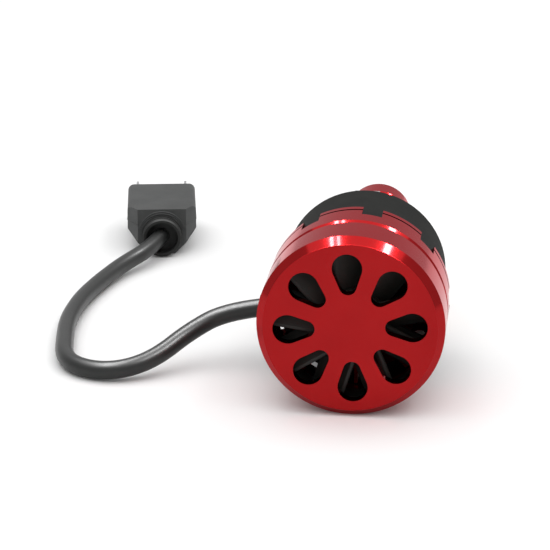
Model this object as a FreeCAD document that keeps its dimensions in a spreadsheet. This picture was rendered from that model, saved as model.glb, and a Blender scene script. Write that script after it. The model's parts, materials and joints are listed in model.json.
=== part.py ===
import FreeCAD, Part
import math
import os
import Sketcher

from FreeCAD import Placement, Rotation, Vector

# Fan-cooled LED headlamp bulb lying on its side, with its power lead and three-blade plug.
# Every turned piece is drawn about a local Z axis measured from the flat rear face, and LAY
# turns that axis to world +Y with the lowest point of the can at z = 0.

SIZES = [
    ("total_length", 103.0), ("body_radius", 25.0), ("skirt_bore", 23.4), ("face_radius", 23.1),
    ("face_chamfer", 2.1), ("face_thickness", 3.0), ("joint_at", 14.2), ("joint_radius", 24.1),
    ("vent_count", 8), ("vent_outer_at", 16.5), ("vent_outer_radius", 4.0), ("vent_inner_at", 11.6),
    ("vent_inner_radius", 2.3), ("housing_end", 27.6), ("housing_bore", 22.4), ("groove_at", 24.7),
    ("groove_width", 0.9), ("groove_radius", 24.0), ("slot_count", 9), ("slot_half_width", 2.7),
    ("slot_from", 21.3), ("sink_from", 16.0), ("sink_base_at", 22.8), ("sink_base_end", 25.5),
    ("sink_radius", 20.0), ("sink_hub_radius", 8.0), ("fin_radius", 21.6), ("fin_half_width", 0.5),
    ("fin_count", 18), ("frame_radius", 23.2), ("frame_bore", 21.7), ("frame_from", 3.1),
    ("frame_end", 12.4), ("frame_hub_radius", 9.5), ("frame_hub_from", 11.0), ("strut_half_width", 2.4),
    ("screw_circle", 19.2), ("blade_count", 9), ("blade_tip", 21.0), ("blade_root", 8.9),
    ("blade_chord", 10.2), ("blade_thickness", 0.9), ("blade_from", 4.1), ("blade_end", 9.6),
    ("hub_radius", 9.2), ("hub_from", 3.8), ("hub_end", 9.9), ("shaft_radius", 1.0),
    ("bearing_bore", 1.03), ("bearing_radius", 2.15), ("bearing_tube", 3.0), ("magnet_bore", 6.5),
    ("magnet_radius", 7.75), ("stator_radius", 6.1), ("stator_from", 6.2), ("stator_end", 9.0),
    ("front_radius", 22.6), ("front_bore", 20.1), ("front_spigot", 22.3), ("front_from", 24.2),
    ("front_end", 51.5), ("front_hole", 12.1), ("gland_at", 38.1), ("gland_drop", 8.8),
    ("gland_radius", 4.2), ("gland_end", 28.5), ("board_radius", 19.4), ("board_at", 31.0),
    ("board_thickness", 1.6), ("spacer_circle", 15.5), ("neck_radius", 15.0), ("neck_end", 62.0),
    ("post_radius", 9.0), ("post_flat", 3.2), ("flat_from", 67.0), ("flat_end", 91.0),
    ("cap_from", 93.0), ("cap_radius", 9.5), ("cap_chamfer", 1.2), ("collar_from", 53.0),
    ("collar_bore", 15.06), ("collar_plate", 1.4), ("collar_radius", 20.6), ("lug_radius", 21.5),
    ("shell_radius", 19.0), ("shell_wall", 1.2), ("shell_end", 61.0), ("cable_radius", 2.6),
    ("plug_half_width", 11.1), ("plug_height", 15.0), ("plug_side", 7.0), ("plug_foot", 4.0),
    ("plug_length", 30.5), ("plug_corner", 2.0), ("boot_height", 6.6), ("boot_radius", 6.3),
    ("boot_length", 4.2), ("boot_mouth", 5.1), ("plug_bevel", 3.3), ("plug_bevel_depth", 5.6),
    ("blade_gap", 8.0), ("blade_width", 8.0), ("blade_length", 12.0), ("can_radius", 3.2),
]

# Centre line of the lead: x and z from the axis foot, y from the rear face
ROUTE = [
    (-27.5, 38.0, 16.3), (-38.5, 38.0, 14.5), (-48.0, 32.5, 10.0), (-56.0, 23.0, 5.5),
    (-64.5, 17.5, 3.5), (-75.0, 17.0, 2.8), (-84.0, 22.0, 2.8), (-89.5, 32.0, 2.8),
    (-89.5, 45.0, 2.8), (-89.0, 59.0, 2.8), (-88.0, 75.0, 2.8), (-85.5, 91.5, 2.8),
    (-81.0, 107.5, 3.5), (-74.0, 118.5, 5.5), (-72.0, 128.9, 6.6),
]

PLUG_AT = (-72.1, 129.9)      # near face of the plug, x and distance from the rear face
PLUG_TURN = 9.7               # degrees the plug is turned to the left of straight ahead
VENT_ANGLE = 3.2              # first vent, counter-clockwise from +X seen from behind
SLOT_ANGLE = 1.3
FIN_ANGLE = 11.3
STRUT_ANGLE = -24.0
BLADE_ANGLE = 12.0
BLADE_PITCH = 32.0
LEAD_ANGLE = 61.3

doc = FreeCAD.newDocument("HeadlampBulb")
sheet = doc.addObject("Spreadsheet::Sheet", "Sizes")


class Dim:
    """A length that knows its value and the spreadsheet expression it comes from."""

    def __init__(self, value, text):
        self.value = value
        self.text = text

    def __add__(self, other):
        other = as_dim(other)
        return Dim(self.value + other.value, "(%s + %s)" % (self.text, other.text))

    def __sub__(self, other):
        other = as_dim(other)
        return Dim(self.value - other.value, "(%s - %s)" % (self.text, other.text))

    def __mul__(self, factor):
        return Dim(self.value * factor, "(%s * %s)" % (self.text, factor))


def as_dim(value):
    """Lets a plain number stand beside spreadsheet sizes."""
    if isinstance(value, Dim):
        return value
    return Dim(float(value), "%.4f" % value)


def fill_sheet():
    """Writes the driving sizes as plain numbers with word aliases."""
    for row, (alias, value) in enumerate(SIZES, start=1):
        sheet.set("A%d" % row, alias)
        sheet.set("B%d" % row, str(value))
        sheet.setAlias("B%d" % row, alias)
    doc.recompute()


VALUES = dict(SIZES)


def size(alias):
    return Dim(VALUES[alias], "Sizes." + alias)


def bind(obj, prop, dim):
    """Sets a property and ties it to the sheet; plain numbers are left as constants."""
    dim = as_dim(dim)
    setattr(obj, prop, dim.value)
    if "Sizes." in dim.text:
        obj.setExpression(prop, dim.text)


def around(degrees):
    """Turn about the lamp's axis, counter-clockwise as seen from behind."""
    return Placement(Vector(0, 0, 0), Rotation(Vector(0, 0, 1), -degrees))


LAY = Placement(
    Vector(0, -VALUES["total_length"] / 2, VALUES["body_radius"]),
    Rotation(Vector(1, 0, 0), -90),
)

nodes = []


def finish(obj, label, placement=LAY):
    """Names a finished piece and puts it in its place."""
    obj.Label = label
    obj.Placement = placement
    nodes.append(obj)
    return obj


# ---------- PartDesign helpers ----------

def origin_item(body, role):
    return [item for item in body.Origin.OriginFeatures if item.Role == role][0]


def new_body(name):
    return doc.addObject("PartDesign::Body", name + "_body")


def new_sketch(body, plane, along=0.0, turn=0.0):
    """Sketch on one of the body's planes, moved along and turned about the plane's normal."""
    sketch = body.newObject("Sketcher::SketchObject", body.Name + "_sketch")
    sketch.AttachmentSupport = (origin_item(body, plane), [""])
    sketch.MapMode = "FlatFace"
    along = as_dim(along)
    sketch.AttachmentOffset = Placement(
        Vector(0, 0, along.value), Rotation(Vector(0, 0, 1), turn)
    )
    if "Sizes." in along.text:
        sketch.setExpression("AttachmentOffset.Base.z", along.text)
    return sketch


def pin_point(sketch, edge, point, across, along):
    """Fixes one sketch point by its two distances from the sketch's origin."""
    for kind, other_axis, dim in (("DistanceX", -2, across), ("DistanceY", -1, along)):
        dim = as_dim(dim)
        if abs(dim.value) < 1e-9:
            sketch.addConstraint(Sketcher.Constraint("PointOnObject", edge, point, other_axis))
            continue
        index = sketch.addConstraint(
            Sketcher.Constraint(kind, -1, 1, edge, point, dim.value)
        )
        if "Sizes." in dim.text:
            sketch.setExpression("Constraints[%d]" % index, dim.text)


def polygon(sketch, points):
    """Closed outline whose every corner is bound to the sheet."""
    corners = [(as_dim(a), as_dim(b)) for a, b in points]
    count = len(corners)
    for i in range(count):
        a, b = corners[i]
        c, d = corners[(i + 1) % count]
        start = Vector(a.value, b.value, 0)
        end = Vector(c.value, d.value, 0)
        sketch.addGeometry(Part.LineSegment(start, end), False)
    for i in range(count):
        sketch.addConstraint(Sketcher.Constraint("Coincident", i, 2, (i + 1) % count, 1))
    for i in range(count):
        pin_point(sketch, i, 1, corners[i][0], corners[i][1])


def circle(sketch, across, along, radius):
    radius = as_dim(radius)
    middle = Vector(as_dim(across).value, as_dim(along).value, 0)
    sketch.addGeometry(Part.Circle(middle, Vector(0, 0, 1), radius.value), False)
    pin_point(sketch, 0, 3, across, along)
    index = sketch.addConstraint(Sketcher.Constraint("Radius", 0, radius.value))
    if "Sizes." in radius.text:
        sketch.setExpression("Constraints[%d]" % index, radius.text)


def teardrop(sketch, far, far_radius, near, near_radius):
    """Two arcs on the sketch's X axis joined by their common tangents."""
    lean = math.asin((far_radius.value - near_radius.value) / (far.value - near.value))
    half = math.pi / 2 + lean
    up = Vector(0, 0, 1)
    far_circle = Part.Circle(Vector(far.value, 0, 0), up, far_radius.value)
    near_circle = Part.Circle(Vector(near.value, 0, 0), up, near_radius.value)
    ends = []
    for centre, radius in ((far, far_radius), (near, near_radius)):
        for side in (1, -1):
            across = centre.value + radius.value * math.cos(half)
            ends.append(Vector(across, side * radius.value * math.sin(half), 0))
    sketch.addGeometry(Part.ArcOfCircle(far_circle, -half, half), False)
    sketch.addGeometry(Part.LineSegment(ends[0], ends[2]), False)
    sketch.addGeometry(Part.ArcOfCircle(near_circle, half, 2 * math.pi - half), False)
    sketch.addGeometry(Part.LineSegment(ends[3], ends[1]), False)
    sketch.addConstraint(Sketcher.Constraint("Tangent", 0, 2, 1, 1))
    sketch.addConstraint(Sketcher.Constraint("Tangent", 1, 2, 2, 1))
    sketch.addConstraint(Sketcher.Constraint("Tangent", 2, 2, 3, 1))
    sketch.addConstraint(Sketcher.Constraint("Tangent", 3, 2, 0, 1))
    pin_point(sketch, 0, 3, far, 0)
    pin_point(sketch, 2, 3, near, 0)
    for edge, radius in ((0, far_radius), (2, near_radius)):
        index = sketch.addConstraint(Sketcher.Constraint("Radius", edge, radius.value))
        sketch.setExpression("Constraints[%d]" % index, radius.text)


def revolve(body, points, kind="PartDesign::Revolution"):
    """Turned shape (or groove) from a radius-and-distance outline."""
    sketch = new_sketch(body, "XZ_Plane")
    polygon(sketch, points)
    feature = body.newObject(kind, body.Name + "_turned")
    feature.Profile = sketch
    feature.ReferenceAxis = (sketch, ["V_Axis"])
    feature.Angle = 360.0
    body.Tip = feature
    doc.recompute()
    return feature


def extrude(body, sketch, length, kind="PartDesign::Pad"):
    """Pad or pocket that runs forward, away from the rear face."""
    feature = body.newObject(kind, body.Name + "_run")
    feature.Profile = sketch
    bind(feature, "Length", length)
    feature.Reversed = kind == "PartDesign::Pocket"
    body.Tip = feature
    doc.recompute()
    return feature


def repeat(body, originals, count):
    """Copies features round the axis."""
    pattern = body.newObject("PartDesign::PolarPattern", body.Name + "_ring")
    pattern.Originals = originals
    pattern.Axis = (origin_item(body, "Z_Axis"), [""])
    pattern.Angle = 360
    pattern.Occurrences = int(as_dim(count).value)
    if isinstance(count, Dim):
        pattern.setExpression("Occurrences", count.text)
    body.Tip = pattern
    doc.recompute()
    return pattern


def radial_bar(body, inner, outer, half, start, end, angle, kind="PartDesign::Pad"):
    """Rectangular bar or slot lying along a radius."""
    sketch = new_sketch(body, "XY_Plane", start, -angle)
    low = as_dim(half) * -1
    polygon(sketch, [(inner, low), (outer, low), (outer, half), (inner, half)])
    return extrude(body, sketch, as_dim(end) - start, kind)


def round_spot(body, distance, radius, start, end, angle, kind="PartDesign::Pad"):
    """Round post or hole parallel to the axis."""
    sketch = new_sketch(body, "XY_Plane", start, -angle)
    circle(sketch, distance, 0, radius)
    return extrude(body, sketch, as_dim(end) - start, kind)


# ---------- Part helpers ----------

def at(obj, across=0, side=0, along=0):
    """Places a primitive, its coordinates bound where they come from the sheet."""
    obj.Placement = Placement(
        Vector(as_dim(across).value, as_dim(side).value, as_dim(along).value), Rotation()
    )
    for axis, value in (("x", across), ("y", side), ("z", along)):
        dim = as_dim(value)
        if "Sizes." in dim.text:
            obj.setExpression("Placement.Base." + axis, dim.text)
    return obj


def cylinder(name, radius, start, end, across=0, side=0):
    obj = doc.addObject("Part::Cylinder", name)
    bind(obj, "Radius", radius)
    bind(obj, "Height", as_dim(end) - start)
    return at(obj, across, side, start)


def block(name, across, side, start, end):
    """Box given by its limits: across, side (pairs) and start, end along the axis."""
    obj = doc.addObject("Part::Box", name)
    bind(obj, "Length", as_dim(across[1]) - across[0])
    bind(obj, "Width", as_dim(side[1]) - side[0])
    bind(obj, "Height", as_dim(end) - start)
    return at(obj, across[0], side[0], start)


def fuse(name, shapes):
    obj = doc.addObject("Part::MultiFuse", name)
    obj.Shapes = shapes
    return obj


def cut(name, base, tool):
    obj = doc.addObject("Part::Cut", name)
    obj.Base = base
    obj.Tool = tool
    return obj


def common(name, first, second):
    obj = doc.addObject("Part::Common", name)
    obj.Base = first
    obj.Tool = second
    return obj


def compound(name, shapes):
    obj = doc.addObject("Part::Compound", name)
    obj.Links = shapes
    return obj


def tube(name, inner, outer, start, end, across=0, side=0):
    solid = cylinder(name + "_outer", outer, start, end, across, side)
    hole = cylinder(name + "_hole", inner, start, end, across, side)
    return cut(name, solid, hole)


def spun(item, degrees):
    """The same piece turned about the lamp's axis; its own placement stays bound to the sheet."""
    holder = compound(item.Name + "_spun", [item])
    holder.Placement = around(degrees)
    return holder


def copies(name, count, first_angle, make_one):
    """Separate equal solids spaced round the axis."""
    items = []
    for k in range(int(count)):
        items.append(spun(make_one("%s_%d" % (name, k)), first_angle + 360.0 / count * k))
    return compound(name + "_set", items)


# ---------- Rear cover and housing ----------

def rear_cover():
    body = new_body("rear_cover")
    edge = size("body_radius")
    joint = size("joint_at")
    revolve(body, [
        (0, 0), (size("face_radius"), 0), (edge, size("face_chamfer")), (edge, joint - 0.7),
        (size("joint_radius"), joint), (size("skirt_bore"), joint),
        (size("skirt_bore"), size("face_thickness")), (0, size("face_thickness")),
    ])
    sketch = new_sketch(body, "XY_Plane", 0, -VENT_ANGLE)
    teardrop(
        sketch, size("vent_outer_at"), size("vent_outer_radius"),
        size("vent_inner_at"), size("vent_inner_radius"),
    )
    vent = extrude(body, sketch, size("face_thickness"), "PartDesign::Pocket")
    repeat(body, [vent], size("vent_count"))
    finish(body, "rear_cover")


def housing():
    body = new_body("housing")
    joint = size("joint_at")
    edge = size("body_radius")
    end = size("housing_end")
    groove = size("groove_at")
    revolve(body, [
        (21.8, 12.5), (23.3, 12.5), (23.3, joint), (size("joint_radius"), joint),
        (edge, joint + 1.7), (edge, groove), (size("groove_radius"), groove),
        (size("groove_radius"), groove + size("groove_width")),
        (edge, groove + size("groove_width")), (edge, end), (size("housing_bore"), end),
        (size("housing_bore"), joint + 0.6), (21.8, joint + 0.6),
    ])
    slot = radial_bar(
        body, 21.0, 26.0, size("slot_half_width"), size("slot_from"), end + 0.5,
        SLOT_ANGLE, "PartDesign::Pocket",
    )
    repeat(body, [slot], size("slot_count"))
    finish(body, "housing")


def heat_sink():
    body = new_body("heat_sink")
    start = size("sink_from")
    base = size("sink_base_at")
    revolve(body, [
        (0, start), (size("sink_hub_radius"), start), (size("sink_hub_radius"), base),
        (size("sink_radius"), base), (size("sink_radius"), size("sink_base_end")),
        (0, size("sink_base_end")),
    ])
    fin = radial_bar(
        body, size("sink_hub_radius") - 0.5, size("fin_radius"), size("fin_half_width"),
        start, base, FIN_ANGLE,
    )
    repeat(body, [fin], size("fin_count"))
    post = round_spot(body, size("screw_circle"), 2.4, start, base + 0.5, STRUT_ANGLE)
    repeat(body, [post], 3)
    hole = round_spot(
        body, size("screw_circle"), 1.0, start, base, STRUT_ANGLE, "PartDesign::Pocket"
    )
    repeat(body, [hole], 3)
    round_spot(body, 13.0, 1.9, base, 26.0, LEAD_ANGLE, "PartDesign::Pocket")
    finish(body, "heat_sink")


# ---------- Cooling fan ----------

def fan_frame():
    """Ring, three struts, hub plate and bearing tube."""
    body = new_body("fan_frame")
    plate = size("frame_hub_from")
    ring = size("frame_radius")
    bore = size("frame_bore")
    revolve(body, [
        (bore, size("frame_from")), (ring, size("frame_from")),
        (ring, size("frame_end")), (bore, size("frame_end")),
    ])
    strut = radial_bar(
        body, 0.5, bore + 0.5, size("strut_half_width"), plate, size("frame_end"), STRUT_ANGLE
    )
    repeat(body, [strut], 3)
    revolve(body, [
        (0, 5.6), (size("bearing_tube"), 5.6), (size("bearing_tube"), plate),
        (size("frame_hub_radius"), plate), (size("frame_hub_radius"), 12.6), (0, 12.6),
    ])
    revolve(body, [
        (0, 5.5), (size("bearing_radius") + 0.05, 5.5), (size("bearing_radius") + 0.05, plate),
        (2.4, plate), (2.4, 12.0), (0, 12.0),
    ], "PartDesign::Groove")
    hole = round_spot(
        body, size("screw_circle"), 1.05, plate, 12.6, STRUT_ANGLE, "PartDesign::Pocket"
    )
    repeat(body, [hole], 3)
    round_spot(body, 6.6, 1.8, plate, 12.7, LEAD_ANGLE, "PartDesign::Pocket")
    finish(body, "fan_frame")


def ring_piece(label, inner, outer, start, end):
    """Plain turned ring."""
    body = new_body(label)
    revolve(body, [(inner, start), (outer, start), (outer, end), (inner, end)])
    finish(body, label)


def stator():
    body = new_body("stator_core")
    start = size("stator_from")
    end = size("stator_end")
    revolve(body, [(3.1, start), (3.9, start), (3.9, end), (3.1, end)])
    tooth = radial_bar(body, 3.6, 5.8, 0.8, start, end, 45.0)
    shoe_sketch = new_sketch(body, "XY_Plane", start, -45.0)
    spread = math.radians(33)
    outer = VALUES["stator_radius"]
    corner = (outer * math.cos(spread), outer * math.sin(spread))
    bend = (outer * math.cos(spread / 2), outer * math.sin(spread / 2))
    polygon(shoe_sketch, [
        (corner[0] - 0.6, 0.2 - corner[1]), (corner[0], -corner[1]), (bend[0], -bend[1]),
        (size("stator_radius"), 0), bend, corner, (corner[0] - 0.6, corner[1] - 0.2), (5.45, 0),
    ])
    shoe = extrude(body, shoe_sketch, end - start)
    repeat(body, [tooth, shoe], 4)
    finish(body, "stator_core")

    def insulator(name, low, high):
        pieces = [tube(name + "_ring", 3.1, 3.95, low, high)]
        for k in range(4):
            arm = block(name + "_arm%d" % k, (3.6, 5.2), (-1.0, 1.0), low, high)
            pieces.append(spun(arm, 45 + 90 * k))
        return fuse(name, pieces)

    plates = [
        insulator("insulator_rear", start - 0.4, start),
        insulator("insulator_front", end, end + 0.4),
    ]
    finish(compound("insulators", plates), "stator_insulators")

    def coil(name):
        solid = block(name + "_solid", (4.0, 4.9), (-1.6, 1.6), start - 0.7, end + 0.7)
        window = block(name + "_window", (3.9, 5.0), (-1.05, 1.05), start - 0.45, end + 0.45)
        return cut(name, solid, window)

    finish(copies("coil", 4, 45, coil), "stator_coils")


def rotor():
    """Impeller with its steel cup, magnet ring and shaft."""
    hub = size("hub_radius")
    cup = cylinder("impeller_cup", hub, size("hub_from"), size("hub_end"))
    hollow = cylinder("impeller_hollow", hub - 0.75, size("hub_from") + 0.8, size("hub_end"))
    pieces = [cut("impeller_hub", cup, hollow)]
    count = VALUES["blade_count"]
    for k in range(count):
        plate = doc.addObject("Part::Box", "blade_plate%d" % k)
        bind(plate, "Length", size("blade_tip"))
        bind(plate, "Width", size("blade_chord"))
        bind(plate, "Height", size("blade_thickness"))
        middle = (VALUES["blade_from"] + VALUES["blade_end"]) / 2
        centred = Placement(
            Vector(4.0, -VALUES["blade_chord"] / 2, -VALUES["blade_thickness"] / 2), Rotation()
        )
        pitched = Placement(Vector(0, 0, middle), Rotation(Vector(1, 0, 0), BLADE_PITCH))
        turn = around(BLADE_ANGLE + 360.0 / count * k)
        plate.Placement = turn.multiply(pitched).multiply(centred)
        sweep = tube(
            "blade_sweep%d" % k, size("blade_root"), size("blade_tip"),
            size("blade_from"), size("blade_end"),
        )
        pieces.append(common("blade%d" % k, plate, sweep))
    finish(fuse("impeller", pieces), "fan_impeller")

    yoke = new_body("rotor_yoke")
    axle = size("shaft_radius")
    revolve(yoke, [
        (axle, 4.65), (8.4, 4.65), (8.4, 9.8), (7.8, 9.8), (7.8, 5.2), (axle, 5.2),
    ])
    finish(yoke, "rotor_yoke")
    ring_piece("rotor_magnet", size("magnet_bore"), size("magnet_radius"), 5.4, 9.6)
    shaft = new_body("fan_shaft")
    revolve(shaft, [
        (0, 4.65), (axle, 4.65), (axle, 11.25), (0.75, 11.25), (0.75, 11.6), (axle, 11.6),
        (axle, 11.85), (0, 11.85),
    ])
    finish(shaft, "fan_shaft")
    clip = tube("clip_ring", 0.8, 1.9, 11.28, 11.57)
    gap = block("clip_gap", (0.3, 2.5), (-0.5, 0.5), 11.2, 11.7)
    finish(cut("clip", clip, gap), "shaft_clip")


def fan_small_parts():
    ring_piece("sleeve_bearing", size("bearing_bore"), size("bearing_radius"), 5.7, 10.9)
    ring_piece("fan_board", 3.2, 8.0, 10.2, size("frame_hub_from"))
    sensor = block("sensor", (6.2, 7.8), (-1.2, 1.2), 9.92, 10.2)
    finish(compound("sensor_set", [sensor]), "hall_sensor")

    def screw(name):
        circle_at = size("screw_circle")
        plate = size("frame_hub_from")
        head = cylinder(name + "_head", 1.9, plate - 0.9, plate, circle_at)
        recess = cylinder(name + "_recess", 0.8, plate - 0.9, plate - 0.4, circle_at)
        shank = cylinder(name + "_shank", 0.9, plate, 21.0, circle_at)
        return fuse(name, [cut(name + "_cup", head, recess), shank])

    finish(copies("fan_screw", 3, STRUT_ANGLE, screw), "fan_screws")

    def standoff(name):
        return tube(name, 1.1, 2.3, size("frame_end"), size("sink_from"), size("screw_circle"))

    finish(copies("standoff", 3, STRUT_ANGLE, standoff), "fan_standoffs")


def swept(points, radius, places):
    """Round tube along straight runs joined by tangent arcs; returns its shape."""
    edges = []
    radii = []
    last = points[0]
    for before, corner, after in zip(points, points[1:], points[2:]):
        back = before - corner
        ahead = after - corner
        reach = 0.45 * min(back.Length, ahead.Length)
        half_turn = (math.pi - back.getAngle(ahead)) / 2
        bend = reach / math.tan(half_turn)
        radii.append(bend)
        start = corner + back.normalize() * reach
        end = corner + ahead.normalize() * reach
        bisector = (back + ahead).normalize()
        centre = corner + bisector * (bend / math.cos(half_turn))
        middle = centre - bisector * bend
        edges.append(Part.LineSegment(last, start).toShape())
        edges.append(Part.Arc(start, middle, end).toShape())
        last = end
    edges.append(Part.LineSegment(last, points[-1]).toShape())
    path = Part.Wire(edges)
    direction = (points[1] - points[0]).normalize()
    section = Part.Wire([Part.makeCircle(radius, points[0], direction)])
    solid = path.makePipeShell([section], True, False)
    ideal = math.pi * radius ** 2 * path.Length
    print("%s: length %.1f, volume %.1f of %.1f, smallest radius %.1f"
          % (places, path.Length, solid.Volume, ideal, min(radii)))
    print("  radii", [round(value, 1) for value in radii])
    return solid


def wire_feature(label, shapes, placement):
    obj = doc.addObject("Part::Feature", label + "_shape")
    obj.Shape = shapes[0] if len(shapes) == 1 else Part.makeCompound(shapes)
    finish(obj, label, placement)


def fan_leads():
    """Two thin wires from the fan board to the driver board."""
    for label, side in (("fan_lead_plus", 0.75), ("fan_lead_minus", -0.75)):
        points = [
            Vector(6.6, side, VALUES["frame_hub_from"]), Vector(6.6, side, 14.2),
            Vector(13.0, side, 14.2), Vector(13.0, side, VALUES["board_at"]),
        ]
        shape = swept(points, 0.6, label)
        wire_feature(label, [shape], LAY.multiply(around(LEAD_ANGLE)))


# ---------- Front body and driver ----------

def front_body():
    body = new_body("front_body")
    outer = size("front_radius")
    end = size("front_end")
    bore = size("front_bore")
    revolve(body, [
        (bore, size("front_from")), (size("front_spigot"), size("front_from")),
        (size("front_spigot"), 27.7), (outer, 27.7), (outer, end - 0.5), (outer - 0.5, end),
        (size("front_hole"), end), (size("front_hole"), end - 2.0), (bore, end - 2.0),
    ])
    hole = doc.addObject("Part::Cylinder", "gland_hole")
    bind(hole, "Radius", size("gland_radius") + 0.05)
    hole.Height = 14.0
    hole.Placement = Placement(
        Vector(-12.0, VALUES["gland_drop"], VALUES["gland_at"]), Rotation(Vector(0, 1, 0), -90)
    )
    hole.setExpression("Placement.Base.y", "Sizes.gland_drop")
    hole.setExpression("Placement.Base.z", "Sizes.gland_at")
    finish(cut("front_body_cut", body, hole), "front_body")


def driver():
    board = size("board_at")
    face = board + size("board_thickness")
    plate = cylinder("board_disc", size("board_radius"), board, face)
    holes = []
    for k in range(3):
        hole = cylinder("board_hole%d" % k, 1.0, board - 0.5, face + 0.5, size("spacer_circle"))
        holes.append(spun(hole, 30 + 120 * k))
    finish(cut("board", plate, compound("board_holes", holes)), "driver_board")

    def spacer(name):
        return tube(name, 1.0, 2.3, size("sink_base_end"), board, size("spacer_circle"))

    finish(copies("spacer", 3, 30, spacer), "board_spacers")

    def screw(name):
        circle_at = size("spacer_circle")
        head = cylinder(name + "_head", 1.9, face, face + 1.3, circle_at)
        recess = cylinder(name + "_recess", 0.9, face + 0.6, face + 1.3, circle_at)
        shank = cylinder(name + "_shank", 0.9, 26.0, face, circle_at)
        return fuse(name, [cut(name + "_cup", head, recess), shank])

    finish(copies("board_screw", 3, 30, screw), "board_screws")

    choke = doc.addObject("Part::Torus", "choke")
    choke.Radius1 = 4.4
    choke.Radius2 = 2.0
    at(choke, 8.5, 4.5, face + 2.05)
    finish(compound("choke_set", [choke]), "driver_inductor")
    cans = [
        cylinder("capacitor_a", size("can_radius"), face, face + 8.5, -3.5, -14.0),
        cylinder("capacitor_b", size("can_radius"), face, face + 8.5, 4.0, -14.0),
    ]
    finish(compound("capacitors", cans), "driver_capacitors")
    chips = [
        block("chip_a", (-8.0, -3.0), (1.0, 5.0), face, face + 1.5),
        block("chip_b", (-2.0, 2.0), (-3.5, 0.5), face, face + 1.2),
        block("chip_c", (5.5, 11.5), (-9.5, -4.0), face, face + 2.3),
        block("chip_d", (-10.0, -6.0), (7.5, 12.5), face, face + 1.8),
    ]
    finish(compound("chips", chips), "driver_chips")


def gland():
    """Rubber strain relief through the side of the front body, its axis along -X."""
    body = new_body("cable_gland")
    radius = size("gland_radius")
    end = size("gland_end")
    slim = radius - 0.8
    revolve(body, [
        (0, 15.5), (radius, 15.5), (radius, 22.9), (slim, 23.3), (slim, 23.9), (radius - 0.2, 24.3),
        (radius - 0.3, 25.1), (slim - 0.1, 25.5), (slim - 0.1, 26.1), (radius - 0.5, 26.5),
        (radius - 0.7, end), (0, end),
    ])
    spot = Placement(
        Vector(0, VALUES["gland_drop"], VALUES["gland_at"]), Rotation(Vector(0, 1, 0), -90)
    )
    finish(body, "cable_gland", LAY.multiply(spot))


# ---------- Post, collar and light-emitting parts ----------

def post():
    body = new_body("post_core")
    front = size("front_end")
    neck = size("neck_radius")
    neck_end = size("neck_end")
    stem = size("post_radius")
    cap = size("cap_from")
    hole = size("front_hole") - 0.1
    revolve(body, [
        (0, front - 2.0), (hole, front - 2.0), (hole, front), (neck, front), (neck, 60.2),
        (neck - 0.6, 60.2), (neck - 0.6, 61.0), (neck, 61.0), (neck, neck_end),
        (neck - 1.5, neck_end + 1.5), (stem, neck_end + 4.0), (stem, cap), (0, cap),
    ])
    revolve(body, [(0, 86.0), (1.3, 86.0), (1.3, cap + 0.1), (0, cap + 0.1)], "PartDesign::Groove")
    flat = radial_bar(
        body, size("post_flat"), 10.0, 10.0, size("flat_from"), size("flat_end"), 0.0,
        "PartDesign::Pocket",
    )
    repeat(body, [flat], 2)
    finish(body, "post_core")

    end_cap = new_body("end_cap")
    edge = size("cap_radius")
    bevel = size("cap_chamfer")
    length = size("total_length")
    revolve(end_cap, [
        (1.3, cap), (edge - bevel, cap), (edge, cap + bevel), (edge, length - bevel),
        (edge - bevel, length), (3.2, length), (3.2, length - 2.0), (1.3, length - 2.0),
    ])
    finish(end_cap, "end_cap")

    head = cylinder("cap_head", 2.9, length - 2.0, length - 0.4)
    socket = doc.addObject("Part::Prism", "cap_socket")
    socket.Polygon = 6
    socket.Circumradius = 1.5
    socket.Height = 1.2
    at(socket, 0, 0, length - 1.4)
    shank = cylinder("cap_shank", 1.2, 86.4, length - 2.0)
    finish(fuse("cap_screw_solid", [cut("cap_cup", head, socket), shank]), "cap_screw")


def collar():
    ring_piece("seal_ring", size("neck_radius") + 0.05, 17.6, size("front_end"), 52.8)
    body = new_body("mounting_collar")
    bore = size("collar_bore")
    start = size("collar_from")
    face = start + size("collar_plate")
    shell = size("shell_radius")
    inner = shell - size("shell_wall")
    revolve(body, [
        (bore, start), (size("collar_radius"), start), (size("collar_radius"), face),
        (shell, face), (shell, size("shell_end")), (inner, size("shell_end")), (inner, face),
        (16.4, face), (16.4, 60.0), (bore, 60.0),
    ])
    lug = radial_bar(body, 19.5, size("lug_radius"), 3.5, start, face, 90.0)
    repeat(body, [lug], 3)
    finish(body, "mounting_collar")
    ring = tube("circlip_ring", 14.5, 16.9, 60.25, 60.95)
    gap = block("circlip_gap", (13.0, 18.0), (-2.5, 2.5), 60.0, 61.2)
    finish(cut("circlip", ring, spun(gap, -90)), "collar_clip")


def lights():
    flat = size("post_flat")

    def board(name):
        return block(name, (flat, flat + 1.0), (-6.0, 6.0), 68.0, 90.0)

    finish(copies("led_board", 2, 0, board), "led_boards")

    def chips(name, start):
        items = []
        for side in (0, 180):
            for k in range(3):
                low = start + 2.0 * k
                chip = block(
                    "%s_%d_%d" % (name, side, k), (flat + 1.0, flat + 1.6), (-0.8, 0.8),
                    low, low + 1.6,
                )
                items.append(spun(chip, side))
        return compound(name, items)

    finish(chips("low_chips", 70.4), "low_beam_leds")
    finish(chips("high_chips", 81.4), "high_beam_leds")

    def shield(name, low_side):
        shell = block(
            name + "_shell", (flat + 1.0, flat + 4.4), (0.8, 4.4), 69.0, 77.4
        )
        hollow = block(
            name + "_hollow", (flat + 0.9, flat + 4.5), (0.7, 3.9), 69.6, 76.8
        )
        piece = cut(name, shell, hollow)
        if low_side == 180:
            piece.Placement = Placement(Vector(0, 0, 146.4), Rotation(Vector(0, 1, 0), 180))
        return piece

    pair = compound("shields", [shield("shield_right", 0), shield("shield_left", 180)])
    finish(pair, "beam_shields")


# ---------- Lead and plug ----------

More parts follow.
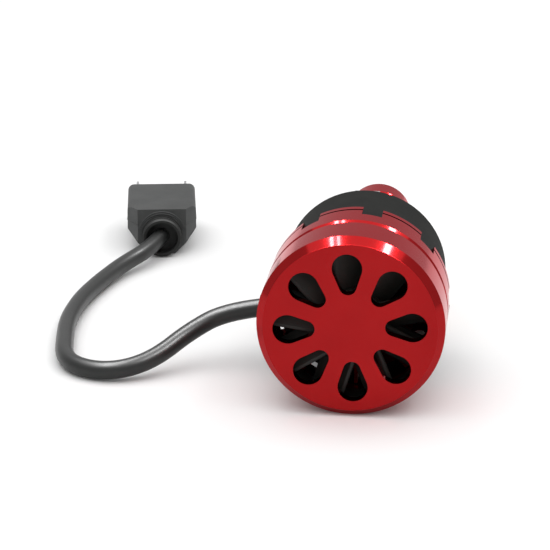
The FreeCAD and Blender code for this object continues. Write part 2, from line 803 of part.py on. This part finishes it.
def lead():
    offset = VALUES["total_length"] / 2
    points = [Vector(x, y - offset, z) for x, y, z in ROUTE]
    shape = swept(points, VALUES["cable_radius"], "power_cable")
    wire_feature("power_cable", [shape], Placement())


def plug():
    """Moulded block with its foot on the table; local +Y is away from the lead."""
    spot = Placement(
        Vector(PLUG_AT[0], PLUG_AT[1] - VALUES["total_length"] / 2, 0),
        Rotation(Vector(0, 0, 1), PLUG_TURN),
    )
    body = new_body("plug_body")
    wide = size("plug_half_width")
    foot = size("plug_foot")
    top = size("plug_height")
    side = size("plug_side")
    sketch = new_sketch(body, "XZ_Plane")
    polygon(sketch, [
        (foot, 0), (wide, side), (wide, top), (wide * -1, top), (wide * -1, side), (foot * -1, 0),
    ])
    pad = extrude(body, sketch, size("plug_length"))
    pad.Reversed = True
    doc.recompute()
    bevel = size("plug_bevel")
    depth = size("plug_bevel_depth")
    for hand in (1, -1):
        outline = new_sketch(body, "XY_Plane", -1.0)
        polygon(outline, [
            ((wide - bevel) * hand, -1.0), ((wide + 2.0) * hand, -1.0),
            ((wide + 2.0) * hand, depth + depth * 0.6), (wide * hand, depth),
            ((wide - bevel) * hand, 0),
        ])
        pad = extrude(body, outline, top + 2.0, "PartDesign::Pocket")
    names = []
    for index, edge in enumerate(pad.Shape.Edges, start=1):
        middle = edge.BoundBox.Center
        along = edge.BoundBox.YLength > 5
        if along and middle.z > top.value - 0.1 and abs(middle.x) > wide.value - 0.1:
            names.append("Edge%d" % index)
        if not along and middle.y > VALUES["plug_length"] - 0.1 and middle.z > side.value:
            names.append("Edge%d" % index)
    fillet = body.newObject("PartDesign::Fillet", "plug_corners")
    fillet.Base = (pad, names)
    bind(fillet, "Radius", size("plug_corner"))
    body.Tip = fillet
    finish(body, "plug_body", spot)

    boot = new_body("plug_boot")
    radius = size("boot_radius")
    mouth = size("boot_mouth")
    revolve(boot, [
        (0, 0), (radius + 0.2, 0), (radius + 0.2, 0.7), (radius - 0.5, 0.9), (radius - 0.5, 1.4),
        (radius, 1.6), (radius, 2.1), (radius - 0.5, 2.3), (radius - 0.5, 2.8), (radius, 3.0),
        (radius, 3.7), (radius - 0.4, size("boot_length")), (mouth, size("boot_length")),
        (mouth, 1.2), (0, 1.2),
    ])
    nose = Placement(Vector(0, 0, VALUES["boot_height"]), Rotation(Vector(1, 0, 0), 90))
    finish(boot, "plug_boot", spot.multiply(nose))

    def blade(name, across, up):
        obj = doc.addObject("Part::Box", name)
        bind(obj, "Length", as_dim(across[1]) - across[0])
        bind(obj, "Width", size("blade_length"))
        bind(obj, "Height", as_dim(up[1]) - up[0])
        return at(obj, across[0], size("plug_length"), up[0])

    gap = size("blade_gap")
    broad = size("blade_width")
    blades = [
        blade("blade_left", (gap * -1 - 0.4, gap * -1 + 0.4), (4.6, broad + 4.6)),
        blade("blade_right", (gap - 0.4, gap + 0.4), (4.6, broad + 4.6)),
        blade("blade_flat", (broad * -0.5, broad * 0.5), (2.4, 3.2)),
    ]
    finish(compound("blades", blades), "plug_blades", spot)


def check_and_write():
    """Stops on any failed object, then writes one file for each piece."""
    doc.recompute()
    for obj in doc.Objects:
        if "Invalid" in obj.State or "Error" in obj.State:
            raise RuntimeError("failed: %s %s" % (obj.Label, obj.State))
    os.makedirs("parts", exist_ok=True)
    for node in nodes:
        shape = node.Shape
        if shape.isNull() or not shape.isValid() or shape.Volume <= 0:
            raise RuntimeError("bad shape: " + node.Label)
    for node in nodes:
        node.Shape.exportStep("parts/%s.step" % node.Label)
        print("%-18s %9.1f mm3  %d solids" % (node.Label, node.Shape.Volume, len(node.Shape.Solids)))


fill_sheet()
rear_cover()
housing()
heat_sink()
fan_frame()
stator()
rotor()
fan_small_parts()
fan_leads()
front_body()
driver()
gland()
post()
collar()
lights()
lead()
plug()
check_and_write()
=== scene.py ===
import json
import math

import bmesh
import bpy
from mathutils import Matrix, Vector


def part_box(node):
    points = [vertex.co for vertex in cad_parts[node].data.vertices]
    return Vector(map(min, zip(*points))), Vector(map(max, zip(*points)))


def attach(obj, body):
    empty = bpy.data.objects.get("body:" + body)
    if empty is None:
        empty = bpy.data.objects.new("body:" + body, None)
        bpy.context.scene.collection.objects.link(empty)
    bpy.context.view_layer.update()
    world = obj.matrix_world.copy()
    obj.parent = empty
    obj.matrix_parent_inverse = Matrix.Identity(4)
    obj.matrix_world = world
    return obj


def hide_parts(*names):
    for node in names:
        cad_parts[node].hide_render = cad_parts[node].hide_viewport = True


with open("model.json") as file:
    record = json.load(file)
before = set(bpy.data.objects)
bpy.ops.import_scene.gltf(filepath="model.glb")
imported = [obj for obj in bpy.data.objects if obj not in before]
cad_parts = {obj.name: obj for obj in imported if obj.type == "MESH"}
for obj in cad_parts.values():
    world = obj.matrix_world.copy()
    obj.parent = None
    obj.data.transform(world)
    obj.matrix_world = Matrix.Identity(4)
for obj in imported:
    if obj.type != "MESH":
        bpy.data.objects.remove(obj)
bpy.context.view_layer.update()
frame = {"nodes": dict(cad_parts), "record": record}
NODES = frame["nodes"]

# The lamp's axis runs along +Y at this height; REAR is the Y of the flat rear face
AXIS_Z = 0.025
REAR = -0.0515

# Control points of the lead: x, distance from the rear face, z (mm). They are part.py's points,
# the fourth to the tenth moved inwards, where the limp lead turns more sharply than its
# plain tube
ROUTE = [
    (-27.5, 38.0, 16.3), (-38.5, 38.0, 14.5), (-48.0, 32.5, 10.0), (-55.5, 24.0, 5.5),
    (-63.0, 19.0, 3.5), (-71.0, 18.0, 2.8), (-78.5, 21.5, 2.8), (-83.0, 28.5, 2.8),
    (-85.5, 41.0, 2.8), (-88.0, 57.0, 2.8), (-88.0, 75.0, 2.8), (-85.5, 91.5, 2.8),
    (-81.0, 107.5, 3.5), (-74.0, 118.5, 5.5), (-72.0, 128.9, 6.6),
]
CABLE_RADIUS = 0.0026
BODY_END = 0.0515         # front body's far face, from the rear face
BODY_RADIUS = 0.0226

# Plug: near face on the floor (x and distance from the rear face), turn, height of the lead's
# entry, length, half width, the near corners' bevel (across, ahead) and the seam's height
PLUG_AT = (-0.0721, 0.1299)
PLUG_TURN = math.radians(9.7)
PLUG_FRAME = (
    Matrix.Translation((PLUG_AT[0], REAR + PLUG_AT[1], 0)) @ Matrix.Rotation(PLUG_TURN, 4, "Z")
)
PLUG_ENTRY = 0.0066
PLUG_LENGTH = 0.0305
PLUG_SIDE = 0.0111        # half width
PLUG_BEVEL = (0.0078, 0.0056)
SEAM_HEIGHT = 0.0098
BLADE = (0.012, 0.008)    # length and width
BLADE_GAP = 0.008         # side blades, from the plug's middle
BLADE_HEIGHT = 0.0086     # middle of the side blades
FLAT_BLADE_HEIGHT = 0.0028
BLADE_HOLE = 0.0009       # radius
BLADE_EDGE = 0.00012      # rounding

# Light post: board face and chip top from the axis, chip pitch, first chips from the rear face
BOARD_FACE = 0.0042
CHIP_TOP = 0.0048
CHIP_PITCH = 0.002
CHIP_ROWS = (0.0712, 0.0822)
PACKAGE_HALF = 0.00096
WINDOW_HALF = 0.0007      # opening in a package's frame

# Stator winding: wire radius, half width, first turn from the axis and how far the turns climb
COIL_WIRE = 0.0001
COIL_HALF = 0.00148
COIL_FROM = 0.00412
COIL_CLIMB = 0.00066

# Choke: radii of the ring, its core, the winding's path and the wire, and the share wound
CHOKE_RING = 0.0044
CHOKE_CORE = 0.00138
CHOKE_WINDING = 0.00174
CHOKE_WIRE = 0.00022
CHOKE_SHARE = 0.92

# Viewpoint: behind the lamp and above it, looking slightly down
CAMERA_AT = (0.047, -0.6052, 0.2303)
CAMERA_AHEAD = (-0.1132, 0.9391, -0.3243)
CAMERA_RIGHT = (0.9928, 0.1197, 0.0)
CAMERA_LENS = 147.7


# ---------- Materials ----------

class Look:
    """One procedural material: a Principled shader and small helpers to feed it."""

    def __init__(self, name, rough, metal=0.0, **sockets):
        self.material = bpy.data.materials.new(name)
        self.material.use_nodes = True
        self.tree = self.material.node_tree
        self.shader = self.tree.nodes["Principled BSDF"]
        self.shader.inputs["Roughness"].default_value = rough
        self.shader.inputs["Metallic"].default_value = metal
        for key, value in sockets.items():
            self.shader.inputs[key.replace("_", " ")].default_value = value

    def node(self, kind, **settings):
        item = self.tree.nodes.new(kind)
        for key, value in settings.items():
            setattr(item, key, value)
        return item

    def link(self, source, target):
        self.tree.links.new(source, target)

    def place(self, scale=(1, 1, 1), shift=(0, 0, 0)):
        """The object's own coordinates, in metres, moved and then scaled."""
        coords = self.node("ShaderNodeTexCoord")
        move = self.node("ShaderNodeMapping", vector_type="POINT")
        move.inputs["Location"].default_value = [a * b for a, b in zip(shift, scale)]
        move.inputs["Scale"].default_value = scale
        self.link(coords.outputs["Object"], move.inputs["Vector"])
        return move.outputs["Vector"]

    def noise(self, vector, scale, detail=3.0, rough=0.55, dims="3D"):
        tex = self.node("ShaderNodeTexNoise", noise_dimensions=dims)
        tex.inputs["Scale"].default_value = scale
        tex.inputs["Detail"].default_value = detail
        tex.inputs["Roughness"].default_value = rough
        self.link(vector, tex.inputs["W" if dims == "1D" else "Vector"])
        return tex.outputs["Fac"]

    def ramp(self, factor, low, high, start=0.35, end=0.65):
        """Two-colour blend driven by a texture."""
        blend = self.node("ShaderNodeValToRGB")
        ends = blend.color_ramp.elements
        ends[0].position = start
        ends[1].position = end
        ends[0].color = (*low, 1)
        ends[1].color = (*high, 1)
        self.link(factor, blend.inputs["Fac"])
        return blend.outputs["Color"]

    def spread(self, factor, low, high):
        """Maps a 0 to 1 texture to a range of one value."""
        span = self.node("ShaderNodeMapRange")
        span.inputs["To Min"].default_value = low
        span.inputs["To Max"].default_value = high
        self.link(factor, span.inputs["Value"])
        return span.outputs["Result"]

    def bump(self, height, strength, distance):
        relief = self.node("ShaderNodeBump")
        relief.inputs["Strength"].default_value = strength
        relief.inputs["Distance"].default_value = distance
        self.link(height, relief.inputs["Height"])
        self.link(relief.outputs["Normal"], self.shader.inputs["Normal"])

    def paint(self, colour):
        self.link(colour, self.shader.inputs["Base Color"])

    def gloss(self, value):
        self.link(value, self.shader.inputs["Roughness"])

    def math(self, operation, first, second):
        item = self.node("ShaderNodeMath", operation=operation)
        for socket, value in zip(item.inputs, (first, second)):
            if isinstance(value, float):
                socket.default_value = value
            else:
                self.link(value, socket)
        return item.outputs["Value"]

    def along(self):
        """Distance from the flat rear face."""
        parts = self.node("ShaderNodeSeparateXYZ")
        self.link(self.place((1, 1, 1), (0, -REAR, 0)), parts.inputs["Vector"])
        return parts.outputs["Y"]

    def mix(self, factor, first, second):
        """Covers one colour with another where the factor is 1."""
        blend = self.node("ShaderNodeMix", data_type="RGBA")
        sockets = {item.identifier: item for item in blend.inputs}
        self.link(factor, sockets["Factor_Float"])
        self.link(first, sockets["A_Color"])
        sockets["B_Color"].default_value = (*second, 1)
        return [item for item in blend.outputs if item.identifier == "Result_Color"][0]

    def radius(self):
        """Distance from the lamp's axis, for the marks a lathe leaves."""
        flat = self.place((1, 0, 1), (0, 0, -AXIS_Z))
        length = self.node("ShaderNodeVectorMath", operation="LENGTH")
        self.link(flat, length.inputs[0])
        return length.outputs["Value"]


def turned_metal(name, low, high, rough, rings=0.25, metal=1.0, face_rough=None, **sockets):
    """Lathe-turned metal: fine rings, a slow tone change and a little grain in the gloss."""
    look = Look(name, rough, metal, **sockets)
    cloud = look.noise(look.place(), 60, 2)
    look.paint(look.ramp(cloud, low, high, 0.3, 0.7))
    turning = look.noise(look.radius(), 9000, 2, 0.6, "1D")
    grain = look.noise(look.place(), 5200, 2)
    gloss = look.spread(grain, rough - 0.04, rough + 0.05)
    if face_rough:
        # The flat rear face is satin, the diamond-cut chamfer and skirt are brighter
        on_face = look.math("LESS_THAN", look.along(), 0.00008)
        gloss = look.math("ADD", gloss, look.math("MULTIPLY", on_face, face_rough - rough))
    look.gloss(gloss)
    look.bump(look.math("ADD", turning, grain), rings, 0.00001)
    return look.material


def moulded(name, low, high, rough, scale=2600, relief=0.25, depth=0.00003, **sockets):
    """Moulded plastic or rubber: fine pitted skin with faint colour change."""
    look = Look(name, rough, 0.0, **sockets)
    cloud = look.noise(look.place(), 110, 3)
    look.paint(look.ramp(cloud, low, high))
    grain = look.noise(look.place(), scale, 3)
    look.gloss(look.spread(grain, rough - 0.06, rough + 0.08))
    look.bump(grain, relief, depth)
    return look.material


def striped(name, low, high, rough, axis, scale, metal=0.0):
    """Thin parallel lines, for laminations, windings and board tracks."""
    look = Look(name, rough, metal)
    wave = look.node("ShaderNodeTexWave", bands_direction=axis)
    wave.inputs["Scale"].default_value = scale
    wave.inputs["Distortion"].default_value = 0.6
    look.link(look.place(), wave.inputs["Vector"])
    look.paint(look.ramp(wave.outputs["Fac"], low, high, 0.2, 0.8))
    look.bump(wave.outputs["Fac"], 0.4, 0.00005)
    return look.material


def coating_with_rim_highlight():
    """Matt black coating, with a painted highlight: a patchy light grey line along the rim of the
    front body.
    """
    look = Look("black_coated", 0.6, 0.0, Specular_IOR_Level=0.04)
    cloud = look.noise(look.place(), 110, 3)
    coat = look.ramp(cloud, (0.0125, 0.0128, 0.012), (0.0165, 0.0168, 0.0155))
    # Painted highlight: light grey on the outer edge of the far face stands in for the rim catching
    # light
    beyond = look.math("GREATER_THAN", look.along(), BODY_END - 0.00045)
    outside = look.math("GREATER_THAN", look.radius(), BODY_RADIUS - 0.00042)
    before = look.math("LESS_THAN", look.along(), BODY_END - 0.00008)
    highlight_patches = look.spread(look.noise(look.place(), 700, 3), 0.25, 0.95)
    rim_highlight = look.math("MULTIPLY", look.math("MULTIPLY", beyond, outside), before)
    look.paint(look.mix(look.math("MULTIPLY", rim_highlight, highlight_patches), coat, (0.3, 0.3, 0.31)))
    grain = look.noise(look.place(), 3000, 3)
    look.gloss(look.spread(grain, 0.55, 0.68))
    look.bump(grain, 0.25, 0.00002)
    return look.material


LOOKS = {
    "red_anodised": turned_metal(
        "red_anodised", (0.31, 0.0072, 0.0086), (0.35, 0.0088, 0.0102), 0.12, 0.1,
        face_rough=0.3, Coat_Weight=0.12, Coat_Roughness=0.06,
        Specular_Tint=(1.0, 0.58, 0.6, 1.0),
    ),
    "red_sink": turned_metal(
        "red_sink", (0.10, 0.0025, 0.0035), (0.15, 0.004, 0.005), 0.42, 0.2
    ),
    "black_coated": coating_with_rim_highlight(),
    "black_plastic": moulded(
        "black_plastic", (0.016, 0.0175, 0.0158), (0.022, 0.024, 0.0212), 0.5, 2400,
        Specular_IOR_Level=0.3,
    ),
    "lamination": striped("lamination", (0.16, 0.16, 0.17), (0.3, 0.3, 0.31), 0.45, "Y", 900, 0.8),
    "board_green": striped("board_green", (0.01, 0.06, 0.025), (0.02, 0.13, 0.05), 0.35, "X", 260),
    "copper_wire": turned_metal("copper_wire", (0.42, 0.13, 0.04), (0.6, 0.22, 0.08), 0.28),
    "bright_steel": turned_metal("bright_steel", (0.42, 0.42, 0.43), (0.54, 0.54, 0.54), 0.3),
    "ferrite": moulded("ferrite", (0.03, 0.03, 0.033), (0.055, 0.055, 0.06), 0.5, 1800),
    "bronze": turned_metal("bronze", (0.4, 0.25, 0.09), (0.52, 0.35, 0.14), 0.35),
    "white_nylon": moulded("white_nylon", (0.62, 0.62, 0.6), (0.72, 0.72, 0.7), 0.4),
    "red_insulation": moulded("red_insulation", (0.4, 0.01, 0.01), (0.5, 0.02, 0.02), 0.4),
    "black_insulation": moulded("black_insulation", (0.015, 0.015, 0.015), (0.03, 0.03, 0.03), 0.4),
    "bare_aluminium": turned_metal("bare_aluminium", (0.66, 0.66, 0.68), (0.78, 0.78, 0.8), 0.3),
    "black_rubber": moulded(
        "black_rubber", (0.012, 0.0126, 0.012), (0.02, 0.0206, 0.0198), 0.58, 1700,
        Specular_IOR_Level=0.2,
    ),
    "bare_copper": turned_metal("bare_copper", (0.55, 0.25, 0.12), (0.68, 0.34, 0.18), 0.32),
    "phosphor": moulded("phosphor", (0.75, 0.55, 0.05), (0.85, 0.66, 0.1), 0.35),
    "black_jacket": moulded(
        "black_jacket", (0.009, 0.0097, 0.0093), (0.0135, 0.0144, 0.0135), 0.36, 1500, 0.16,
        Specular_IOR_Level=0.4,
    ),
    "plug_plastic": moulded(
        "plug_plastic", (0.043, 0.045, 0.0445), (0.059, 0.061, 0.0605), 0.5, 2200,
        Specular_IOR_Level=0.2,
    ),
}


def slot_of(node):
    """The record's material slot for a CAD node."""
    for entry in frame["record"]["subparts"]:
        if entry["node"] == node:
            return entry["material_slot"]
    raise ValueError(node)


for name, obj in NODES.items():
    look = LOOKS[slot_of(name)]
    for holder in obj.material_slots:
        holder.material = look


# ---------- Lead ----------

def lead_point(x, run, z):
    """One of the route's points, in metres."""
    return (x / 1000, REAR + run / 1000, z / 1000)


def make_lead(blades):
    """The lead, one smooth curve from the gland to the plug. The blades passed in are not used."""
    curve = bpy.data.curves.new("lead", "CURVE")
    curve.dimensions = "3D"
    spline = curve.splines.new("NURBS")
    spline.points.add(len(ROUTE) - 1)
    for point, place in zip(spline.points, ROUTE):
        point.co = (*lead_point(*place), 1)
    spline.order_u = 3
    spline.use_endpoint_u = True
    spline.resolution_u = 16
    curve.bevel_depth = CABLE_RADIUS
    curve.bevel_resolution = 8
    curve.use_fill_caps = True
    lead = bpy.data.objects.new("lead", curve)
    bpy.context.collection.objects.link(lead)
    lead.data.materials.append(LOOKS["black_jacket"])
    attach(lead, "lamp")
    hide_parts("power_cable")


def add_curve(name, paths, radius, look, body, cyclic=False, weight=4, order=3):
    """Round rod or wire through the given points, as one object with a spline for each path."""
    curve = bpy.data.curves.new(name, "CURVE")
    curve.dimensions = "3D"
    for path in paths:
        spline = curve.splines.new("NURBS")
        spline.points.add(len(path) - 1)
        for point, place in zip(spline.points, path):
            point.co = (*place, 1)
        spline.order_u = order
        spline.use_endpoint_u = not cyclic
        spline.use_cyclic_u = cyclic
        spline.resolution_u = 4
    curve.bevel_depth = radius
    curve.bevel_resolution = weight
    curve.use_fill_caps = True
    obj = bpy.data.objects.new(name, curve)
    bpy.context.collection.objects.link(obj)
    obj.data.materials.append(LOOKS[look])
    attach(obj, body)
    return obj


def plug_point(across, ahead, height):
    """A point given from the plug's near face: across it, into it and up."""
    return PLUG_FRAME @ Vector((across, ahead, height))


def make_plug_ribs():
    """Moulded steps over the lead's entry, each a flat arc standing out of the near face."""
    paths = []
    for half_width, rise in ((0.0069, 0.0062), (0.0073, 0.0069), (0.0076, 0.0076)):
        arc = []
        for step in range(11):
            turn = math.radians(15 + step * 15)
            arc.append(plug_point(
                half_width * math.cos(turn), 0.0001, PLUG_ENTRY + rise * math.sin(turn)
            ))
        paths.append(arc)
    add_curve("plug_ribs", paths, 0.00026, "plug_plastic", "lamp")


def make_coils():
    """Enamelled wire wound round each of the four stator teeth."""
    paths = []
    turns, steps = 4, 12
    low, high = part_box("stator_coils")
    middle = (low.y + high.y) / 2
    half_run = (high.y - low.y) / 2 - COIL_WIRE
    for tooth in range(4):
        angle = math.radians(45 + 90 * tooth)
        coil = []
        for step in range(turns * steps + 1):
            turn = 2 * math.pi * step / steps
            reach = COIL_FROM + COIL_CLIMB * step / (turns * steps)
            side = COIL_HALF * math.cos(turn)
            run = half_run * math.sin(turn)
            coil.append((
                reach * math.cos(angle) - side * math.sin(angle), middle + run,
                AXIS_Z + reach * math.sin(angle) + side * math.cos(angle),
            ))
        paths.append(coil)
    coils = add_curve("wound_coils", paths, COIL_WIRE, "copper_wire", "lamp", weight=2)
    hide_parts("stator_coils")


def make_parting_line():
    """Fine moulding seam round the plug's sides and far face."""
    near_x, near_y = PLUG_BEVEL
    half = [
        (near_x, 0), (PLUG_SIDE, near_y), (PLUG_SIDE, PLUG_LENGTH - 0.002),
        (PLUG_SIDE - 0.0006, PLUG_LENGTH - 0.0006), (PLUG_SIDE - 0.002, PLUG_LENGTH),
    ]
    outline = half + [(-x, y) for x, y in reversed(half)]
    path = [plug_point(x, y, SEAM_HEIGHT) for x, y in outline]
    add_curve("plug_seam", [path], 0.00012, "plug_plastic", "lamp", order=2, weight=2)


def make_blade(name, centre, width_axis):
    """Plated contact blade with a tapered tip and a locking hole."""
    length, width = BLADE
    half = width / 2
    curve = bpy.data.curves.new(name, "CURVE")
    curve.dimensions = "2D"
    curve.fill_mode = "BOTH"
    outline = [
        (0, -half), (0.8 * length, -half), (length, -0.68 * half),
        (length, 0.68 * half), (0.8 * length, half), (0, half),
    ]
    hole = []
    for step in range(24):
        turn = 2 * math.pi * step / 24
        hole.append((
            0.62 * length + BLADE_HOLE * math.cos(turn), BLADE_HOLE * math.sin(turn)
        ))
    for loop in (outline, hole):
        spline = curve.splines.new("POLY")
        spline.points.add(len(loop) - 1)
        for point, (x, y) in zip(spline.points, loop):
            point.co = (x, y, 0, 1)
        spline.use_cyclic_u = True
    curve.extrude = 0.00028
    curve.bevel_depth = BLADE_EDGE
    curve.offset = -BLADE_EDGE
    curve.bevel_resolution = 2
    obj = bpy.data.objects.new(name, curve)
    bpy.context.collection.objects.link(obj)
    ahead = Vector((0, 1, 0))
    across = Vector(width_axis)
    turn = Matrix((ahead, across, ahead.cross(across))).transposed().to_4x4()
    obj.matrix_world = PLUG_FRAME @ Matrix.Translation(centre) @ turn
    obj.data.materials.append(LOOKS["bright_steel"])
    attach(obj, "lamp")
    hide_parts("plug_blades")
    return obj


def make_blades():
    """Two upright blades and a flat one below them."""
    return [
        make_blade("blade_left", (-BLADE_GAP, PLUG_LENGTH, BLADE_HEIGHT), (0, 0, 1)),
        make_blade("blade_right", (BLADE_GAP, PLUG_LENGTH, BLADE_HEIGHT), (0, 0, 1)),
        make_blade("blade_flat", (0, PLUG_LENGTH, FLAT_BLADE_HEIGHT), (1, 0, 0)),
    ]


def add_mesh(name, net, look, body, bevel=0.0, rounding=0):
    """Finishes a bmesh as a piece: outward faces, rounded edges and its material."""
    bmesh.ops.recalc_face_normals(net, faces=net.faces)
    mesh = bpy.data.meshes.new(name)
    net.to_mesh(mesh)
    net.free()
    obj = bpy.data.objects.new(name, mesh)
    bpy.context.collection.objects.link(obj)
    mesh.materials.append(LOOKS[look])
    if bevel:
        edge = obj.modifiers.new("edges", "BEVEL")
        edge.width = bevel
        edge.segments = 2
    if rounding:
        obj.modifiers.new("round", "SUBSURF").levels = rounding
        obj.modifiers["round"].render_levels = rounding
        for face in mesh.polygons:
            face.use_smooth = True
    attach(obj, body)
    return obj


def square_loops(net, centre, side, loops, closed):
    """Skins square rings (half size and distance out) round a point of the light post."""
    rings = []
    for half, out in loops:
        corners = []
        for across, up in ((-1, -1), (1, -1), (1, 1), (-1, 1)):
            corners.append(net.verts.new((
                side * out, centre[0] + across * half, centre[1] + up * half
            )))
        rings.append(corners)
    pairs = list(zip(rings, rings[1:]))
    if closed:
        pairs.append((rings[-1], rings[0]))
    else:
        net.faces.new(rings[0])
        net.faces.new(rings[-1])
    for low, high in pairs:
        for k in range(4):
            after = (k + 1) % 4
            net.faces.new((low[k], low[after], high[after], high[k]))


def make_led_packages():
    """White frame and domed phosphor on each chip of both boards."""
    frames = bmesh.new()
    domes = bmesh.new()
    for side in (1, -1):
        for first in CHIP_ROWS:
            for k in range(3):
                spot = (REAR + first + CHIP_PITCH * k, AXIS_Z)
                square_loops(frames, spot, side, [
                    (PACKAGE_HALF, BOARD_FACE), (PACKAGE_HALF, CHIP_TOP + 0.00005),
                    (WINDOW_HALF, CHIP_TOP + 0.00005), (WINDOW_HALF, BOARD_FACE),
                ], True)
                square_loops(domes, spot, side, [
                    (0.00068, CHIP_TOP - 0.0001), (0.00068, CHIP_TOP + 0.00008),
                    (0.0005, CHIP_TOP + 0.0003),
                ], False)
    add_mesh("led_frames", frames, "white_nylon", "lamp", bevel=0.00006)
    add_mesh("led_domes", domes, "phosphor", "lamp", rounding=2)


def make_choke():
    """Ferrite ring with its copper winding."""
    low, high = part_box("driver_inductor")
    centre = (low + high) / 2
    core = []
    for step in range(24):
        turn = 2 * math.pi * step / 24
        core.append(centre + Vector((
            CHOKE_RING * math.cos(turn), 0, CHOKE_RING * math.sin(turn)
        )))
    wire = []
    turns, steps = 20, 8
    for step in range(turns * steps):
        along = 2 * math.pi * CHOKE_SHARE * step / (turns * steps)
        coil = 2 * math.pi * step / steps
        reach = CHOKE_RING + CHOKE_WINDING * math.cos(coil)
        wire.append(centre + Vector((
            reach * math.cos(along), CHOKE_WINDING * math.sin(coil), reach * math.sin(along)
        )))
    first = add_curve("choke_core", [core], CHOKE_CORE, "ferrite", "lamp", cyclic=True)
    second = add_curve("choke_winding", [wire], CHOKE_WIRE, "copper_wire", "lamp", weight=2)
    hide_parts("driver_inductor")
    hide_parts("driver_inductor")


make_lead(make_blades())
make_plug_ribs()
make_parting_line()
make_coils()
make_led_packages()
make_choke()


# ---------- Stage, camera and light ----------

def make_stage():
    """Plain pale floor."""
    mesh = bpy.data.meshes.new("floor")
    net = bmesh.new()
    bmesh.ops.create_grid(net, x_segments=4, y_segments=4, size=4.0)
    net.to_mesh(mesh)
    net.free()
    floor = bpy.data.objects.new("floor", mesh)
    bpy.context.collection.objects.link(floor)
    look = Look("floor", 0.9)
    cloud = look.noise(look.place(), 3, 2)
    look.paint(look.ramp(cloud, (0.885, 0.885, 0.885), (0.905, 0.905, 0.905)))
    floor.data.materials.append(look.material)


def make_camera():
    """The camera at its viewpoint."""
    camera = bpy.data.cameras.new("camera")
    camera.lens = CAMERA_LENS
    camera.sensor_width = 36.0
    camera.clip_start = 0.01
    camera.clip_end = 20.0
    holder = bpy.data.objects.new("camera", camera)
    bpy.context.collection.objects.link(holder)
    forward = Vector(CAMERA_AHEAD).normalized()
    right = Vector(CAMERA_RIGHT).normalized()
    up = right.cross(forward).normalized()
    turn = Matrix((right, up, -forward)).transposed()
    holder.matrix_world = Matrix.Translation(CAMERA_AT) @ turn.to_4x4()
    bpy.context.scene.camera = holder


def area_light(name, place, aim, size, power, mirrored_only=False):
    """Flat light facing a point; a mirrored-only one shows in gloss and lights nothing matt."""
    lamp = bpy.data.lights.new(name, "AREA")
    lamp.shape = "RECTANGLE"
    lamp.size, lamp.size_y = size
    lamp.energy = power
    holder = bpy.data.objects.new(name, lamp)
    bpy.context.collection.objects.link(holder)
    toward = Vector(aim) - Vector(place)
    holder.location = place
    holder.rotation_euler = toward.to_track_quat("-Z", "Y").to_euler()
    holder.visible_diffuse = not mirrored_only


def make_light():
    """White surroundings, a wide overhead light and three tubes for streaks."""
    world = bpy.data.worlds.new("studio")
    world.use_nodes = True
    backdrop = world.node_tree.nodes["Background"]
    backdrop.inputs["Color"].default_value = (1.0, 1.0, 1.0, 1)
    backdrop.inputs["Strength"].default_value = 0.7
    bpy.context.scene.world = world
    area_light("overhead", (0.0, -0.1, 1.7), (0, -0.1, 0), (3.0, 3.0), 27)
    # Tubes along the lamp's axis, seen only as streaks on glossy faces: x, width, power
    for name, x, width, power in (
        ("tube_left", -0.37, 0.055, 14), ("tube_middle", -0.262, 0.045, 9),
        ("tube_right", 0.495, 0.11, 30),
    ):
        area_light(name, (x, 0, 1), (0, 0, 0.02), (0.9, width), power, True)


make_stage()
make_camera()
make_light()
bpy.context.scene.view_settings.view_transform = "Standard"
